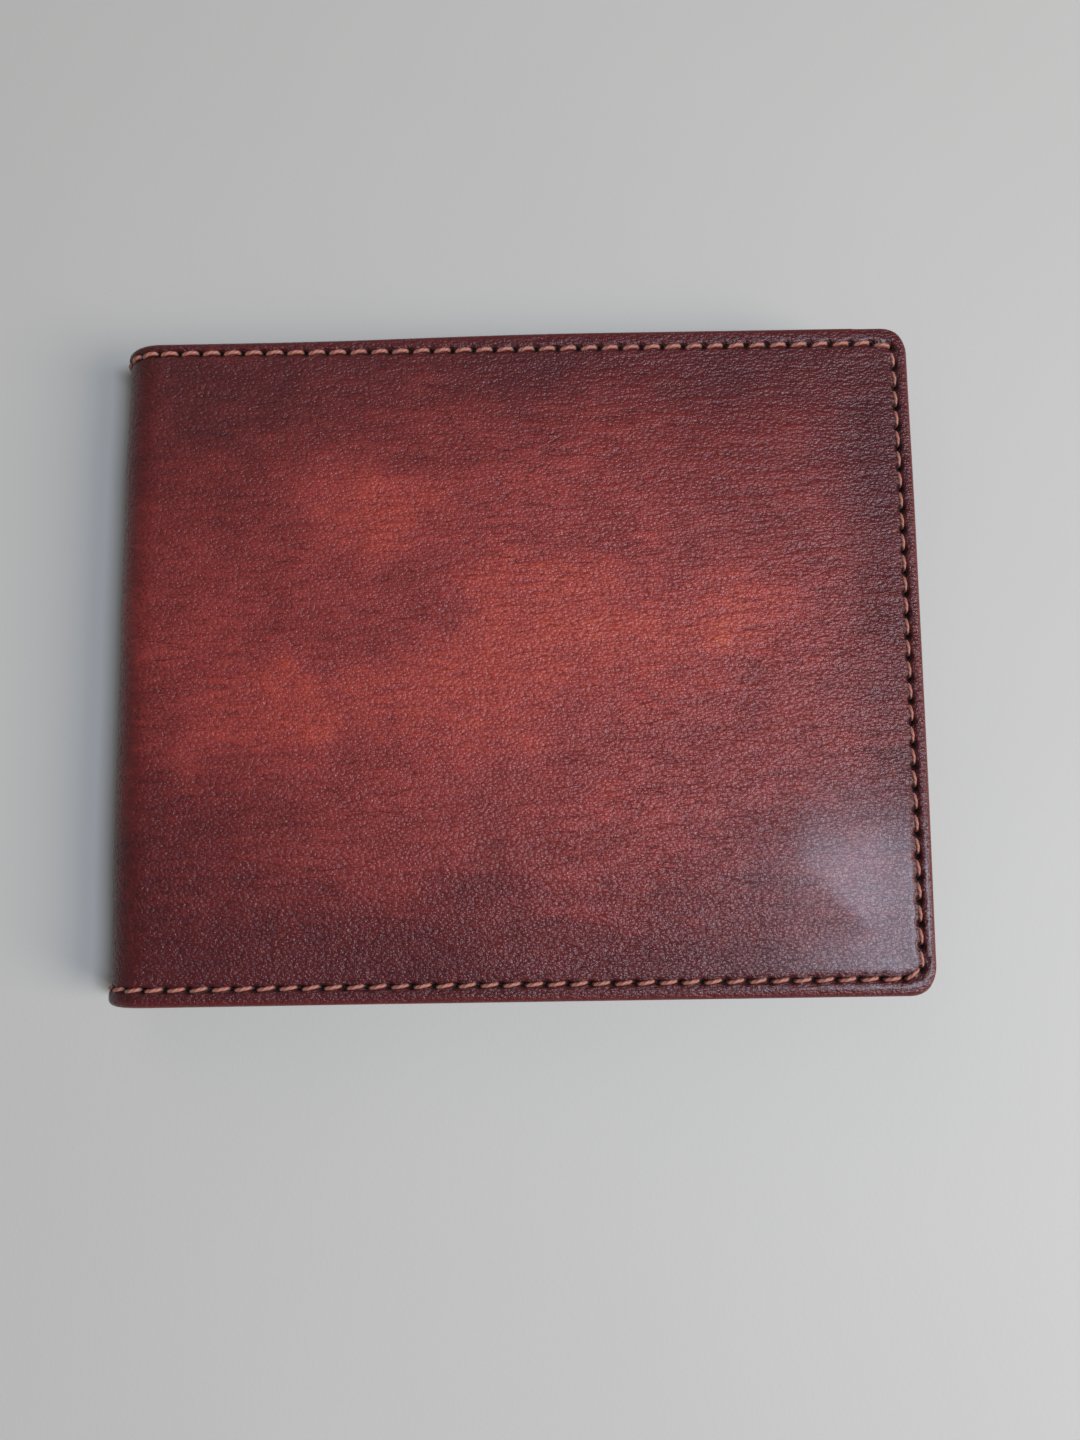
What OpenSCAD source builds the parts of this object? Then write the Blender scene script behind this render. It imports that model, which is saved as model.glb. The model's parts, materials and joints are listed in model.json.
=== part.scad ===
// A bifold leather wallet, closed, lying on its back cover.
// X runs from the spine to the free edge, Y to the mouth of the note compartment, Z up.
// The origin is the centre of the footprint, on the surface that the wallet lies on.
// Each half is drawn as the back half, with depth counted up from the outer face of its cover.

/* [Wallet] */
// Width of the closed wallet, from the spine to the free edge
wallet_w = 115; // [100:0.5:140]
// Height of the wallet, along the spine
wallet_h = 95; // [78:0.5:116]
// Corner radius at the free edge
corner_r = 4; // [3:0.25:8]
// Gap between the two halves when closed
mid_gap = 0.4; // [0.3:0.05:1]

/* [Cover] */
// Thickness of the cover leather
cover_t = 1.2; // [1:0.05:1.6]
// Width of the turned edge at the free side and the bottom
hem_w = 8; // [5:0.5:10]
// Width of the turned edge at the top
top_hem_w = 6; // [4:0.5:8]
// Thickness of the stiffener behind the leather
stiffener_t = 0.5; // [0.4:0.05:0.8]
// Thickness of the cover lining
lining_t = 0.3; // [0.2:0.05:0.5]
// Room for notes between the cover lining and the note wall
note_gap = 0.7; // [0.6:0.05:1]
// Clearance between the turned edge and the sheets inside it
sheet_clear = 0.3; // [0.2:0.05:0.6]
// Distance from the spine's tangent line to the stiffener
stiffener_start = 1; // [0.5:0.25:3]

/* [Card panels] */
// Thickness of the note wall
wall_t = 0.3; // [0.2:0.05:0.4]
// How far the note wall and the card panel stop below the cover's top edge
mouth_drop = 6; // [3:0.5:9]
// Thickness of the card panel's leather
panel_t = 0.8; // [0.7:0.05:1.1]
// How far the card panel stays inside the cover's edge
panel_inset = 0.6; // [0.4:0.1:1]
// Distance from the spine's tangent line to the card panel
panel_start = 4.2; // [3.6:0.2:8]
// Thickness of the leather of a card slot
slot_t = 0.65; // [0.6:0.05:0.9]
// Thickness of a slot's fabric lining
slot_lining_t = 0.15; // [0.1:0.05:0.25]
// Height between the mouths of two slots
slot_step = 12; // [9:0.5:14]
// How far a slot's lining stops below the slot's mouth
lining_drop = 1; // [0.5:0.25:2]

/* [Seams] */
// Distance from a leather edge to its seam
seam_inset = 2.4; // [2:0.1:2.8]
// Length of one stitch, before it is fitted to the run
stitch_pitch = 3.05; // [2.5:0.05:4]
// Thickness of the sewing thread
thread_t = 0.45; // [0.35:0.05:0.45]
// Depth of the channel that the thread lies in
channel_d = 0.5; // [0.48:0.01:0.55]
// Width of that channel
channel_w = 1.2; // [0.8:0.1:1.4]
// Length of the slit that the awl makes
slit_l = 1.1; // [1:0.05:1.4]
// Width of that slit
slit_w = 0.6; // [0.55:0.05:0.8]

/* [Spine] */
// Angle between two neighbouring strips of the spine
strip_clear = 1.6; // [1:0.1:3]
// Angle that one stitch spans on a strip
stitch_angle = 29; // [24:1:32]

/* [Hidden] */
$fn = 96;

leather = "#7a3434";
leather_dark = "#4e2526";
board = "#b9a888";
fabric = "#2e2725";
thread = "#a5644f";

slot_count = 3;
strip_count = 3;
fold_angle = 180 / (strip_count + 1);
eps = 0.02;
thread_sink = 0.03;

// Depths from the outer face of the cover, inwards
stiffener_d = cover_t;
lining_d = stiffener_d + stiffener_t;
void_d = lining_d + lining_t;
wall_d = void_d + note_gap;
panel_d = wall_d + wall_t;
slots_d = panel_d + panel_t;
slot_layer = slot_lining_t + slot_t;
half_t = slots_d + slot_count * slot_layer;
wallet_t = 2 * half_t + mid_gap;
fold_r = wallet_t / 2;

// Places on the footprint
free_x = wallet_w / 2;
spine_x = fold_r - wallet_w / 2;
top_y = wallet_h / 2;
panel_x = spine_x + panel_start;
panel_end_x = free_x - panel_inset;
panel_bottom_y = panel_inset - top_y;
panel_top_y = top_y - mouth_drop;
panel_corner_r = corner_r - panel_inset;
inner_x = free_x - hem_w;
inner_bottom_y = hem_w - top_y;
inner_top_y = top_y - top_hem_w;

// Seams: a run of whole stitches, as long as the stretch that it fills
leg_t = thread_t * 0.65;
leg_gap = 0.1;
seam_x = free_x - seam_inset;
seam_y = top_y - seam_inset;
seam_start_x = spine_x + slit_l / 2;
row_count = round((seam_x - seam_start_x) / stitch_pitch);
row_pitch = (seam_x - seam_start_x) / row_count;
side_count = round(2 * seam_y / stitch_pitch);
side_pitch = 2 * seam_y / side_count;
panel_seam_x = panel_x + seam_inset;
panel_seam_y = panel_top_y - seam_inset;
panel_row_end_x = inner_x - slit_l;
panel_row_count = floor((panel_row_end_x - panel_seam_x) / stitch_pitch);
panel_row_pitch = (panel_row_end_x - panel_seam_x) / panel_row_count;
panel_side_end_y = stitch_pitch - seam_y;
panel_side_count = floor((panel_seam_y - panel_side_end_y) / stitch_pitch);
panel_side_pitch = (panel_seam_y - panel_side_end_y) / panel_side_count;

function slot_mouth_y(k) = panel_top_y - k * slot_step;
function slot_back_d(k) = slots_d + (k - 1) * slot_layer;
function slots_at(y) = len([for (k = [1:slot_count]) if (y < slot_mouth_y(k) + slit_l) k]);
function stack_d(y) = y > panel_top_y ? wall_d : slots_d + slots_at(y) * slot_layer;
function panel_stack_d(y) = slots_at(y) == 0 ? slots_d + thread_t : stack_d(y);

// Depths at which the inner thread of each stitch lies
top_backs = [for (i = [1:row_count]) seam_start_x + i * row_pitch > inner_x - slit_l ? wall_d : void_d];
bottom_backs = [
    for (i = [1:row_count]) seam_start_x + i * row_pitch > panel_x - slit_l ? half_t : panel_d + thread_t
];
side_backs = [for (i = [1:side_count]) stack_d(seam_y - i * side_pitch)];
panel_row_backs = [for (i = [1:panel_row_count]) slots_d];
panel_side_backs = [for (i = [1:panel_side_count]) panel_stack_d(panel_seam_y - i * panel_side_pitch)];

// Turns the back half into the front half, above it
module in_front() {
    translate([0, 0, wallet_t]) mirror([0, 0, 1]) children();
}

// A sheet from x1 to x2 and y1 to y2, with round corners at its free side
module sheet_outline(x1, x2, y1, y2, r) {
    translate([x1, y1]) square([x2 - x1 - r, y2 - y1]);
    translate([x2 - r - eps, y1 + r]) square([r + eps, y2 - y1 - 2 * r]);
    translate([x2 - r, y1 + r]) circle(r);
    translate([x2 - r, y2 - r]) circle(r);
}

// A box given by its two opposite corners
module block(from, to) {
    translate(from) cube(to - from);
}

// Turns a profile of radius and height about the axis of the spine
module spine_arc(from, to) {
    translate([spine_x, 0, fold_r]) rotate([-90, 0, 0])
        rotate_extrude(start = 90 + from, angle = to - from) children();
}

// Puts what is drawn at the outer face, looking inwards along +Z, at an angle round the spine
module on_arc(angle, y) {
    translate([spine_x, y, fold_r]) rotate([0, angle, 0]) translate([0, 0, -fold_r]) children();
}

// Places of the seams: each run goes along +X from here
module at_bottom_seam() {
    translate([seam_start_x, -seam_y, 0]) children();
}

module at_top_seam() {
    translate([seam_start_x, seam_y, 0]) children();
}

module at_side_seam() {
    translate([seam_x, seam_y, 0]) rotate([0, 0, -90]) children();
}

module at_panel_top_seam() {
    translate([panel_seam_x, panel_seam_y, 0]) children();
}

module at_panel_side_seam() {
    translate([panel_seam_x, panel_seam_y, 0]) rotate([0, 0, -90]) children();
}

// The slits of a run, from depth d1 to d2
module slits(count, pitch, d1, d2) {
    for (i = [0:count])
        translate([i * pitch - slit_l / 2, -slit_w / 2, d1]) cube([slit_l, slit_w, d2 - d1]);
}

// The channel of a run, from depth d1 to d2
module channel(count, pitch, d1, d2) {
    translate([-slit_l / 2, -channel_w / 2, d1]) cube([count * pitch + slit_l, channel_w, d2 - d1]);
}

// One stitch: a loop of thread from the outer depth to the inner one, open in the middle
module stitch(pitch, outer_d, inner_d) {
    x1 = leg_gap;
    x2 = pitch - leg_gap;
    rotate([90, 0, 0]) linear_extrude(thread_t, center = true)
        polygon(
            [
                [x1, outer_d], [x2, outer_d], [x2, inner_d], [x1, inner_d],
                [x1 + leg_t, outer_d + thread_t], [x2 - leg_t, outer_d + thread_t],
                [x2 - leg_t, inner_d - thread_t], [x1 + leg_t, inner_d - thread_t]
            ],
            [[0, 1, 2, 3], [4, 5, 6, 7]]
        );
}

// A run of stitches, joined to each other by the inner thread
module stitches(count, pitch, outer_d, inner_ds) {
    for (i = [0:count - 1]) translate([i * pitch, 0, 0]) stitch(pitch, outer_d, inner_ds[i]);
    for (i = [1:count - 1])
        translate([i * pitch - leg_gap - eps, -thread_t / 2, inner_ds[i - 1] - thread_t])
            cube([2 * (leg_gap + eps), thread_t, thread_t]);
}

// All edge slits of a half, through the layers from depth d1 to d2
module edge_slits(d1, d2) {
    at_bottom_seam() slits(row_count, row_pitch, d1, d2);
    at_side_seam() slits(side_count, side_pitch, d1, d2);
}

// The channel of the edge seam on the inner face of a layer at that depth
module inner_edge_channel(depth) {
    at_bottom_seam() channel(row_count, row_pitch, depth - channel_d, depth + eps);
    at_side_seam() channel(side_count, side_pitch, depth - channel_d, depth + eps);
}

// Section of the leather and its turned edges: radius from the spine's axis, and height
module spine_leather_profile() {
    difference() {
        union() {
            translate([fold_r - cover_t, -top_y]) square([cover_t, wallet_h]);
            translate([fold_r - wall_d, -top_y]) square([wall_d - cover_t + eps, hem_w]);
            translate([fold_r - void_d, inner_top_y]) square([void_d - cover_t + eps, top_hem_w]);
        }
        for (y = [-seam_y, seam_y])
            translate([fold_r - channel_d, y - channel_w / 2]) square([channel_d + eps, channel_w]);
        translate([fold_r - wall_d - eps, -seam_y - channel_w / 2]) square([channel_d + eps, channel_w]);
        translate([fold_r - void_d - eps, seam_y - channel_w / 2]) square([channel_d + eps, channel_w]);
    }
}

// Section of a sheet at that depth, between two heights
module spine_sheet_profile(depth, t, y1, y2) {
    translate([fold_r - depth - t, y1]) square([t, y2 - y1]);
}

// Half of the cover: the flat leather, its turned edges and the start of the spine
module cover_shape() {
    difference() {
        union() {
            linear_extrude(cover_t) sheet_outline(spine_x, free_x, -top_y, top_y, corner_r);
            translate([0, 0, cover_t - eps]) linear_extrude(wall_d - cover_t + eps) difference() {
                sheet_outline(spine_x, free_x, -top_y, top_y, corner_r);
                translate([spine_x - eps, inner_bottom_y])
                    square([inner_x - spine_x + eps, wallet_h]);
            }
            block([spine_x, inner_top_y, cover_t - eps], [inner_x + eps, top_y, void_d]);
            spine_arc(0, (fold_angle - strip_clear) / 2) spine_leather_profile();
        }
        at_top_seam() {
            slits(row_count, row_pitch, -eps, wall_d + eps);
            channel(row_count, row_pitch, -eps, channel_d);
            channel(row_count, row_pitch, void_d - channel_d, void_d + eps);
            translate([inner_x - seam_start_x, -channel_w / 2, wall_d - channel_d])
                cube([hem_w - seam_inset, channel_w, channel_d + eps]);
        }
        edge_slits(-eps, wall_d + eps);
        at_bottom_seam() channel(row_count, row_pitch, -eps, channel_d);
        at_side_seam() channel(side_count, side_pitch, -eps, channel_d);
        inner_edge_channel(wall_d);
        block([spine_x - eps, -seam_y - channel_w / 2, -eps], [seam_start_x, channel_w / 2 - seam_y, channel_d]);
        block([spine_x - eps, seam_y - channel_w / 2, -eps], [seam_start_x, seam_y + channel_w / 2, channel_d]);
    }
}

// A sheet that lies between the turned edges of the cover
module inner_sheet(start_x, depth, t) {
    block(
        [start_x, inner_bottom_y + sheet_clear, depth],
        [inner_x - sheet_clear, inner_top_y - sheet_clear, depth + t]
    );
}

module stiffener_shape() {
    inner_sheet(spine_x + stiffener_start, stiffener_d, stiffener_t);
}

module lining_shape() {
    inner_sheet(spine_x, lining_d, lining_t);
    spine_arc(0, (fold_angle - strip_clear) / 2)
        spine_sheet_profile(lining_d, lining_t, inner_bottom_y + sheet_clear, inner_top_y - sheet_clear);
}

// The note wall, which goes on round the spine
module note_wall_shape() {
    difference() {
        union() {
            translate([0, 0, wall_d]) linear_extrude(wall_t)
                sheet_outline(spine_x, panel_end_x, panel_bottom_y, panel_top_y, panel_corner_r);
            spine_arc(0, (fold_angle - strip_clear) / 2)
                spine_sheet_profile(wall_d, wall_t, panel_bottom_y, panel_top_y);
        }
        edge_slits(wall_d - eps, panel_d + eps);
        at_panel_top_seam() slits(panel_row_count, panel_row_pitch, wall_d - eps, panel_d + eps);
    }
}

module card_panel_shape() {
    difference() {
        translate([0, 0, panel_d]) linear_extrude(panel_t)
            sheet_outline(panel_x, panel_end_x, panel_bottom_y, panel_top_y, panel_corner_r);
        edge_slits(panel_d - eps, slots_d + eps);
        inner_edge_channel(slots_d);
        at_panel_top_seam() {
            slits(panel_row_count, panel_row_pitch, panel_d - eps, slots_d + eps);
            channel(panel_row_count, panel_row_pitch, slots_d - channel_d, slots_d + eps);
        }
        at_panel_side_seam() slits(panel_side_count, panel_side_pitch, panel_d - eps, slots_d + eps);
        at_panel_side_seam() channel(panel_side_count, panel_side_pitch, panel_d - eps, panel_d + channel_d);
    }
}

// A flat layer of slot k, up to that height, with the slits of both seams
module slot_sheet(top, d1, d2) {
    difference() {
        translate([0, 0, d1]) linear_extrude(d2 - d1) difference() {
            sheet_outline(panel_x, panel_end_x, panel_bottom_y, panel_top_y, panel_corner_r);
            translate([panel_x - eps, top]) square([wallet_w, wallet_h]);
        }
        edge_slits(d1 - eps, d2 + eps);
        at_panel_side_seam() slits(panel_side_count, panel_side_pitch, d1 - eps, d2 + eps);
    }
}

// Slot k's leather, which lies flat on its lining while no card is in it
module card_slot_shape(k) {
    face = slot_back_d(k) + slot_layer;
    difference() {
        slot_sheet(slot_mouth_y(k), slot_back_d(k) + slot_lining_t, face);
        inner_edge_channel(face);
        at_panel_side_seam() channel(panel_side_count, panel_side_pitch, face - channel_d, face + eps);
    }
}

module slot_lining_shape(k) {
    slot_sheet(slot_mouth_y(k) - lining_drop, slot_back_d(k), slot_back_d(k) + slot_lining_t);
}

// The seam round the cover's three edges
module edge_thread_shape() {
    at_bottom_seam() stitches(row_count, row_pitch, thread_sink, bottom_backs);
    at_top_seam() stitches(row_count, row_pitch, thread_sink, top_backs);
    at_side_seam() stitches(side_count, side_pitch, thread_sink, side_backs);
}

// The seam of the card panel: along its top and beside the spine
module panel_thread_shape() {
    at_panel_top_seam() stitches(panel_row_count, panel_row_pitch, wall_d - thread_t, panel_row_backs);
    at_panel_side_seam() stitches(panel_side_count, panel_side_pitch, panel_d + thread_sink, panel_side_backs);
}

// One strip of the spine, centred at that angle round it
module spine_strip(angle) {
    half = (fold_angle - strip_clear) / 2;
    spine_arc(angle - half, angle + half) children();
}

// The two pairs of slits of a strip
module strip_slits(angle) {
    for (y = [-seam_y, seam_y], side = [-1, 1]) on_arc(angle + side * stitch_angle / 2, y)
        translate([-slit_l / 2, -slit_w / 2, -channel_d]) cube([slit_l, slit_w, panel_d + 2 * channel_d]);
}

// One stitch on a strip, between two depths
module arc_stitch(angle, y, outer_d, inner_d) {
    for (depth = [outer_d, inner_d - thread_t])
        spine_arc(angle - stitch_angle / 2, angle + stitch_angle / 2)
            translate([fold_r - depth - thread_t, y - thread_t / 2]) square([thread_t, thread_t]);
    for (side = [-1, 1]) on_arc(angle + side * stitch_angle / 2, y)
        translate([-leg_t / 2, -thread_t / 2, outer_d + eps])
            cube([leg_t, thread_t, inner_d - outer_d - 2 * eps]);
}

module spine_leather_shape(angle) {
    difference() {
        spine_strip(angle) spine_leather_profile();
        strip_slits(angle);
    }
}

module spine_lining_shape(angle) {
    spine_strip(angle)
        spine_sheet_profile(lining_d, lining_t, inner_bottom_y + sheet_clear, inner_top_y - sheet_clear);
}

module spine_note_wall_shape(angle) {
    difference() {
        spine_strip(angle) spine_sheet_profile(wall_d, wall_t, panel_bottom_y, panel_top_y);
        strip_slits(angle);
    }
}

module spine_thread_shape(angle) {
    arc_stitch(angle, -seam_y, thread_sink, panel_d + thread_t);
    arc_stitch(angle, seam_y, thread_sink, void_d);
}

module back_cover() {
    color(leather) cover_shape();
}

module back_stiffener() {
    color(board) stiffener_shape();
}

module back_lining() {
    color(fabric) lining_shape();
}

module back_note_wall() {
    color(fabric) note_wall_shape();
}

module back_card_panel() {
    color(leather_dark) card_panel_shape();
}

module back_card_slot(k) {
    color(leather_dark) card_slot_shape(k);
}

module back_slot_lining(k) {
    color(fabric) slot_lining_shape(k);
}

module back_edge_thread() {
    color(thread) edge_thread_shape();
}

module back_panel_thread() {
    color(thread) panel_thread_shape();
}

module front_cover() {
    color(leather) in_front() cover_shape();
}

module front_stiffener() {
    color(board) in_front() stiffener_shape();
}

module front_lining() {
    color(fabric) in_front() lining_shape();
}

module front_note_wall() {
    color(fabric) in_front() note_wall_shape();
}

module front_card_panel() {
    color(leather_dark) in_front() card_panel_shape();
}

module front_card_slot(k) {
    color(leather_dark) in_front() card_slot_shape(k);
}

module front_slot_lining(k) {
    color(fabric) in_front() slot_lining_shape(k);
}

module front_edge_thread() {
    color(thread) in_front() edge_thread_shape();
}

module front_panel_thread() {
    color(thread) in_front() panel_thread_shape();
}

module spine_leather(k) {
    color(leather) spine_leather_shape(k * fold_angle);
}

module spine_lining(k) {
    color(fabric) spine_lining_shape(k * fold_angle);
}

module spine_note_wall(k) {
    color(fabric) spine_note_wall_shape(k * fold_angle);
}

module spine_thread(k) {
    color(thread) spine_thread_shape(k * fold_angle);
}

back_cover();
back_stiffener();
back_lining();
back_note_wall();
back_card_panel();
back_card_slot(1);  // back_card_slot_1
back_card_slot(2);  // back_card_slot_2
back_card_slot(3);  // back_card_slot_3
back_slot_lining(1);  // back_slot_lining_1
back_slot_lining(2);  // back_slot_lining_2
back_slot_lining(3);  // back_slot_lining_3
back_edge_thread();
back_panel_thread();
front_cover();
front_stiffener();
front_lining();
front_note_wall();
front_card_panel();
front_card_slot(1);  // front_card_slot_1
front_card_slot(2);  // front_card_slot_2
front_card_slot(3);  // front_card_slot_3
front_slot_lining(1);  // front_slot_lining_1
front_slot_lining(2);  // front_slot_lining_2
front_slot_lining(3);  // front_slot_lining_3
front_edge_thread();
front_panel_thread();
spine_leather(1);  // spine_leather_1
spine_lining(1);  // spine_lining_1
spine_note_wall(1);  // spine_note_wall_1
spine_thread(1);  // spine_thread_1
spine_leather(2);  // spine_leather_2
spine_lining(2);  // spine_lining_2
spine_note_wall(2);  // spine_note_wall_2
spine_thread(2);  // spine_thread_2
spine_leather(3);  // spine_leather_3
spine_lining(3);  // spine_lining_3
spine_note_wall(3);  // spine_note_wall_3
spine_thread(3);  // spine_thread_3
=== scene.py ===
"""The looks of a bifold leather wallet: its covers, card slots, linings and seams."""

import json
import math

import bpy
import numpy as np
from bpy.props import FloatProperty, FloatVectorProperty, IntProperty, PointerProperty
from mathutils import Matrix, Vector, kdtree, noise
from mathutils.geometry import delaunay_2d_cdt


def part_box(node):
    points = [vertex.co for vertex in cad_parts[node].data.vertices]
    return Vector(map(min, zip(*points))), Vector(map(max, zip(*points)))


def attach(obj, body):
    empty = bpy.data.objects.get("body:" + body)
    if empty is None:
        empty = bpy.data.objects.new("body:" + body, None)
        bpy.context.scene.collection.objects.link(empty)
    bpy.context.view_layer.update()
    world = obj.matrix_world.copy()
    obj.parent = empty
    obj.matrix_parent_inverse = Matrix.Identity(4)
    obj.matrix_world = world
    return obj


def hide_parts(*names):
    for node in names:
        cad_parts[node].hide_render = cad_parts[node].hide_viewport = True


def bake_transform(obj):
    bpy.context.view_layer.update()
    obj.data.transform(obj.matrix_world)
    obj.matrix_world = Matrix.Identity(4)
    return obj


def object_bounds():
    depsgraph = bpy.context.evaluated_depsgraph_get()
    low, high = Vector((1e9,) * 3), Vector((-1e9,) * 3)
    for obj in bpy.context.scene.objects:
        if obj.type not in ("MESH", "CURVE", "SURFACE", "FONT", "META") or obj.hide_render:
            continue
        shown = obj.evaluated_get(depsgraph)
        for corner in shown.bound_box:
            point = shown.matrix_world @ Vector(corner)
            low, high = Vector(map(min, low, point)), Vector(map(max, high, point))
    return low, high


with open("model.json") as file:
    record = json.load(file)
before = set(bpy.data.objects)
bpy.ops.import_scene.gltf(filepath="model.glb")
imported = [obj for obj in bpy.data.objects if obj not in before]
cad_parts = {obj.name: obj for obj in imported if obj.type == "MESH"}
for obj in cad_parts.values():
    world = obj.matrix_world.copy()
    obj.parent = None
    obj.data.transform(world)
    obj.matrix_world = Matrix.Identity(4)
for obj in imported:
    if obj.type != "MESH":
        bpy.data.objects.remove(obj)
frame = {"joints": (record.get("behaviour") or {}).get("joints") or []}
cad_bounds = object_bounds()

bl_info = {
    "name": "Bifold wallet",
    "version": (1, 0, 0),
    "blender": (4, 5, 0),
    "location": "View3D > Sidebar > Wallet",
    "description": "Leather, linings, card slots and seams of a bifold wallet on its frame",
    "category": "Add Mesh",
}

# ---- sizes of the frame, in millimetres

MM = 0.001
SIDES = {"back": -1, "front": 1}
SLOTS = (1, 2, 3)


def low(node):
    return np.array(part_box(node)[0]) / MM


def high(node):
    return np.array(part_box(node)[1]) / MM


FREE_X = cad_bounds[1][0] / MM
TOP_Y = cad_bounds[1][1] / MM
THICK = cad_bounds[1][2] / MM
FOLD_R = THICK / 2
SPINE_X = FOLD_R - FREE_X
HALF_ARC = math.pi * FOLD_R / 2
REACH = HALF_ARC + FREE_X - SPINE_X
COVER_T = low("back_stiffener")[2]
LINING_D = low("back_lining")[2]
WALL_D = low("back_note_wall")[2]
PANEL_D = low("back_card_panel")[2]
SLOTS_D = high("back_card_panel")[2]
WALL_T = PANEL_D - WALL_D
HALF_T = high("back_card_slot_3")[2]
PANEL_LOW = low("back_card_panel")
PANEL_HIGH = high("back_card_panel")
SHEET_LOW = low("back_lining")
SHEET_HIGH = high("back_lining")
MOUTHS = [high(f"back_card_slot_{k}")[1] for k in SLOTS]
FOLDS = [j["name"] for j in frame["joints"]]
STRIP = 2 * HALF_ARC / len(FOLDS)
CUTS = [(k - len(FOLDS) / 2) * STRIP for k in range(1, len(FOLDS))]

# How far the photographed front cover strays from square
CORNER_SAG, EDGE_SAG, LEAN, EDGE_ROLL, TOP_ROLL = 0.55, 0.3, 0.5, 0.35, 0.85


def spread(x, side):
    """Where a place on a half lies on the flat pattern, counted from the middle of the spine."""
    return side * (HALF_ARC + x - SPINE_X)


def smooth(low_end, high_end, value):
    t = np.clip((value - low_end) / (high_end - low_end), 0, 1)
    return t * t * (3 - 2 * t)


def sag(x, y):
    """How far the front cover hangs down towards its free edges."""
    part = (x - SPINE_X) / (FREE_X - SPINE_X)
    across = smooth(0.35, 1.0, np.abs(y) / TOP_Y)
    return CORNER_SAG * across * smooth(0.0, 0.3, part) + EDGE_SAG * smooth(0.35, 1.0, part)


def slant(x, y):
    """How far the front cover's free edge leans in towards its lower corner."""
    drawn_in = EDGE_ROLL * smooth(FREE_X - 2.2, FREE_X, x)
    return LEAN * (1 - y / TOP_Y) * np.maximum(x - SPINE_X, 0) / (FREE_X - SPINE_X) + drawn_in


def pinch(x, y):
    """How far the top edge is rolled in where it nears the spine."""
    return TOP_ROLL * smooth(TOP_Y - 2.3, TOP_Y, y) * smooth(12.0, SPINE_X + 2.0, x)


def fold(u, v, w):
    """Folds the flat pattern round the spine: depth w counts inwards from the outer face."""
    u, v, w = np.broadcast_arrays(*(np.asarray(c, float) for c in (u, v, w)))
    past = np.abs(u) - HALF_ARC
    angle = np.clip(u / FOLD_R, -math.pi / 2, math.pi / 2)
    x = SPINE_X - (FOLD_R - w) * np.cos(angle) + np.maximum(past, 0)
    z = FOLD_R + (FOLD_R - w) * np.sin(angle)
    flat = (past > 0) & (u > 0)
    z = z - np.where(flat, sag(x, v) * np.clip(1 - w / HALF_T, 0, 1), 0)
    x = x - np.where(flat, slant(x, v), 0)
    return np.stack([x, v - pinch(x, v), z], axis=-1) * MM


# ---- flat patterns


class Seam:
    """A path of needle holes on the flat pattern, with the stitches between them."""

    def __init__(self, points, closed=False):
        points = np.asarray(points, float)
        ahead, back = np.roll(points, -1, axis=0), np.roll(points, 1, axis=0)
        if not closed:
            ahead[-1], back[0] = 2 * points[-1] - points[-2], 2 * points[0] - points[1]
        self.holes = points
        self.along = (ahead - back) / np.linalg.norm(ahead - back, axis=1)[:, None]
        last = len(points) if closed else len(points) - 1
        self.starts, self.ends = points[:last], ahead[:last]
        self.pitch = float(np.median(np.linalg.norm(ahead - points, axis=1)))
        self.tree = kdtree.KDTree(len(points))
        for i, (u, v) in enumerate(points):
            self.tree.insert((u, v, 0), i)
        self.tree.balance()

    def masks(self, u, v):
        """How much of the channel and of a needle hole there is at each point."""
        near = [self.tree.find((a, b, 0))[1] for a, b in zip(u, v)]
        offset = np.stack([u, v], axis=1) - self.holes[near]
        along = np.sum(offset * self.along[near], axis=1)
        across = offset[:, 1] * self.along[near][:, 0] - offset[:, 0] * self.along[near][:, 1]
        inside = smooth(self.pitch * 0.8, self.pitch * 0.55, np.abs(along))
        beat = 0.8 + 0.2 * np.cos(2 * math.pi * along / self.pitch)
        channel = np.exp(-((across / 0.5) ** 2)) * inside * beat
        hole = np.exp(-((along / 0.44) ** 2) - (across / 0.33) ** 2)
        return channel, hole


def straight(start, end, pitch):
    """Points of a straight run of whole stitches."""
    start, end = np.array(start, float), np.array(end, float)
    count = max(1, round(np.linalg.norm(end - start) / pitch))
    return [start + (end - start) * i / count for i in range(count + 1)]


def rounded_path(half_u, half_v, radius, pitch):
    """Points at an even pitch round a rectangle with round corners."""
    straights = [2 * (half_u - radius), 2 * (half_v - radius)] * 2
    lengths = [n for side in straights for n in (side, radius * math.pi / 2)]
    total = sum(lengths)
    count = round(total / pitch)
    corners = [(half_u, -half_v), (half_u, half_v), (-half_u, half_v), (-half_u, -half_v)]
    points = []
    for i in range(count):
        s, part = total * i / count, 0
        while s > lengths[part]:
            s, part = s - lengths[part], part + 1
        side, turning = divmod(part, 2)
        ahead = np.array([[1, 0], [0, 1], [-1, 0], [0, -1]][side], float)
        out = np.array([ahead[1], -ahead[0]])
        corner = np.array(corners[side]) - (ahead + out) * radius
        if turning:
            a = s / radius
            points.append(corner + radius * (out * math.cos(a) + ahead * math.sin(a)))
        else:
            points.append(corner + out * radius - ahead * (straights[side] - s))
    return points


def inset_of(rect, radius, u, v):
    """Distance inwards from the edge of a rectangle with round corners."""
    cu, cv = (rect[0] + rect[1]) / 2, (rect[2] + rect[3]) / 2
    qu = np.abs(u - cu) - (rect[1] - rect[0]) / 2 + radius
    qv = np.abs(v - cv) - (rect[3] - rect[2]) / 2 + radius
    outside = np.hypot(np.maximum(qu, 0), np.maximum(qv, 0)) + np.minimum(np.maximum(qu, qv), 0)
    return radius - outside


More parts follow.
